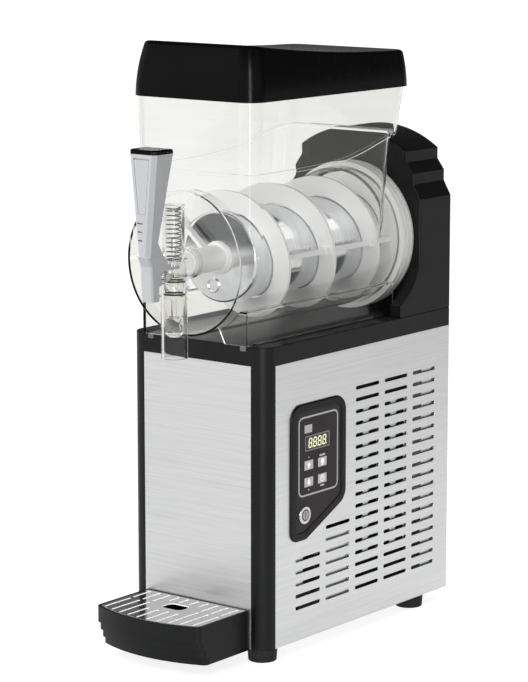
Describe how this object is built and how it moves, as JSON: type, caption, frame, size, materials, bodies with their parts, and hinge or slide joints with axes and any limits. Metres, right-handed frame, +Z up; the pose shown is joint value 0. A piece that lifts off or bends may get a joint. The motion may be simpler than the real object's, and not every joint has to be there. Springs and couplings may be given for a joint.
{
  "type": "slushie machine",
  "caption": "Countertop frozen drink machine with a clear bowl, scraper auger over a steel freezing drum, lever tap, drip tray and side control panel.",
  "frame": {"origin": "centre of the overall footprint, on the counter", "axes": "+Z up; the customer's side, with the tap and drip tray, faces -Y; +X is the right-hand side seen from the front, with the control panel"},
  "size_m": [0.232, 0.544, 0.8089],
  "materials": {
    "steel_panel": "horizontal brushed",
    "drum_steel": "polished stainless",
    "black_plastic": "satin moulded",
    "gloss_black": "high gloss",
    "clear_plastic": "clear moulding",
    "white_plastic": "smooth",
    "cream_silicone": "soft satin",
    "black_rubber": "matt",
    "handle_silver": "satin silver",
    "membrane": "fine matt film",
    "button_grey": "printed key",
    "display": "smoked window",
    "lock_chrome": "polished",
    "grid_steel": "pressed stainless",
    "steel": "plain",
    "copper": "bare copper",
    "cast_alloy": "cast",
    "compressor_black": "black enamel",
    "aluminium_fins": "fin stock",
    "gear_nylon": "nylon",
    "green_board": "laminate",
    "grey_plug": "moulded"
  },
  "bodies": {
    "cabinet": {"base_pan": "steel", "rubber_feet": "black_rubber", "front_column_left": "black_plastic", "front_column_right": "black_plastic", "front_panel": "steel_panel", "side_panel_left": "steel_panel", "side_panel_right": "steel_panel", "rear_panel": "steel_panel", "panel_screws": "steel", "mains_inlet": "black_plastic", "top_deck": "black_plastic", "deck_plugs": "grey_plug", "rear_housing": "black_plastic", "housing_cover": "black_plastic", "evaporator_drum": "drum_steel", "evaporator_coil": "copper", "shaft_seal": "cream_silicone", "front_bush": "gear_nylon", "gear_case": "cast_alloy", "gear_case_cover": "cast_alloy", "gear_motor": "compressor_black", "control_bezel": "black_plastic", "control_membrane": "membrane", "display_lens": "display", "display_module": "black_plastic", "control_board": "green_board", "key_lock_body": "lock_chrome", "compressor": "compressor_black", "compressor_mounts": "black_rubber", "condenser": "compressor_black", "condenser_guard": "aluminium_fins", "fan_shroud": "steel", "fan_motor": "compressor_black", "filter_drier": "copper", "discharge_pipe": "copper", "suction_pipe": "copper", "liquid_pipe": "copper"},
    "bowl": {"bowl": "clear_plastic", "bowl_seal": "cream_silicone", "spring_tube": "clear_plastic", "handle_pin": "steel"},
    "lid": {"bowl_lid": "gloss_black"},
    "tap_lever": {"tap_handle": "handle_silver", "handle_cap": "gloss_black", "handle_inset": "handle_silver"},
    "plunger": {"tap_plunger": "clear_plastic", "plunger_seals": "black_rubber", "tap_spring": "steel"},
    "auger": {"auger": "white_plastic", "drive_shaft": "drum_steel", "drive_gear": "steel"},
    "pinion": {"motor_pinion": "steel"},
    "fan": {"fan_blade": "cast_alloy"},
    "drip_tray": {"drip_tray": "black_plastic"},
    "drip_grid": {"drip_grid": "grid_steel"},
    "key_barrel": {"key_lock_barrel": "lock_chrome"},
    "key_up": {"button_up": "button_grey"},
    "key_down": {"button_down": "button_grey"},
    "key_light": {"button_light": "button_grey"},
    "key_timer": {"button_timer": "button_grey"}
  },
  "joints": [
    {"name": "auger_spin", "type": "hinge", "parent": "cabinet", "child": "auger", "pos_m": [-0.002, -0.15, 0.525], "axis": [0, 1, 0], "continuous": true},
    {"name": "pinion_spin", "type": "hinge", "parent": "cabinet", "child": "pinion", "pos_m": [-0.002, -0.15, 0.5682], "axis": [0, 1, 0], "continuous": true},
    {"name": "fan_spin", "type": "hinge", "parent": "cabinet", "child": "fan", "pos_m": [-0.002, 0.11, 0.19], "axis": [1, 0, 0], "continuous": true},
    {"name": "bowl_slide", "type": "slide", "parent": "cabinet", "child": "bowl", "axis": [0, -1, 0], "range_m": [0, 0.43]},
    {"name": "lid_lift", "type": "slide", "parent": "bowl", "child": "lid", "axis": [0, 0, 1], "range_m": [0, 0.15]},
    {"name": "lever_pull", "type": "hinge", "parent": "bowl", "child": "tap_lever", "pos_m": [-0.002, -0.226, 0.515], "axis": [1, 0, 0], "range_deg": [0, 32]},
    {"name": "plunger_lift", "type": "slide", "parent": "bowl", "child": "plunger", "axis": [0, 0, 1], "range_m": [0, 0.018], "deforming": ["tap_spring"]},
    {"name": "tray_slide", "type": "slide", "parent": "cabinet", "child": "drip_tray", "axis": [0, -1, 0], "range_m": [0, 0.14]},
    {"name": "grid_lift", "type": "slide", "parent": "drip_tray", "child": "drip_grid", "axis": [0, 0, 1], "range_m": [0, 0.05]},
    {"name": "key_turn", "type": "hinge", "parent": "cabinet", "child": "key_barrel", "pos_m": [-0.002, -0.0678, 0.187], "axis": [1, 0, 0], "range_deg": [-90, 0]},
    {"name": "press_up", "type": "slide", "parent": "cabinet", "child": "key_up", "axis": [-1, 0, 0], "range_m": [0, 0.0005], "stiffness_N_per_m": 400},
    {"name": "press_down", "type": "slide", "parent": "cabinet", "child": "key_down", "axis": [-1, 0, 0], "range_m": [0, 0.0005], "stiffness_N_per_m": 400},
    {"name": "press_light", "type": "slide", "parent": "cabinet", "child": "key_light", "axis": [-1, 0, 0], "range_m": [0, 0.0005], "stiffness_N_per_m": 400},
    {"name": "press_timer", "type": "slide", "parent": "cabinet", "child": "key_timer", "axis": [-1, 0, 0], "range_m": [0, 0.0005], "stiffness_N_per_m": 400}
  ],
  "couplings": [
    {"joint": "pinion_spin", "follows": "auger_spin", "ratio": -3},
    {"joint": "plunger_lift", "follows": "lever_pull", "m_per_rad": 0.031}
  ]
}
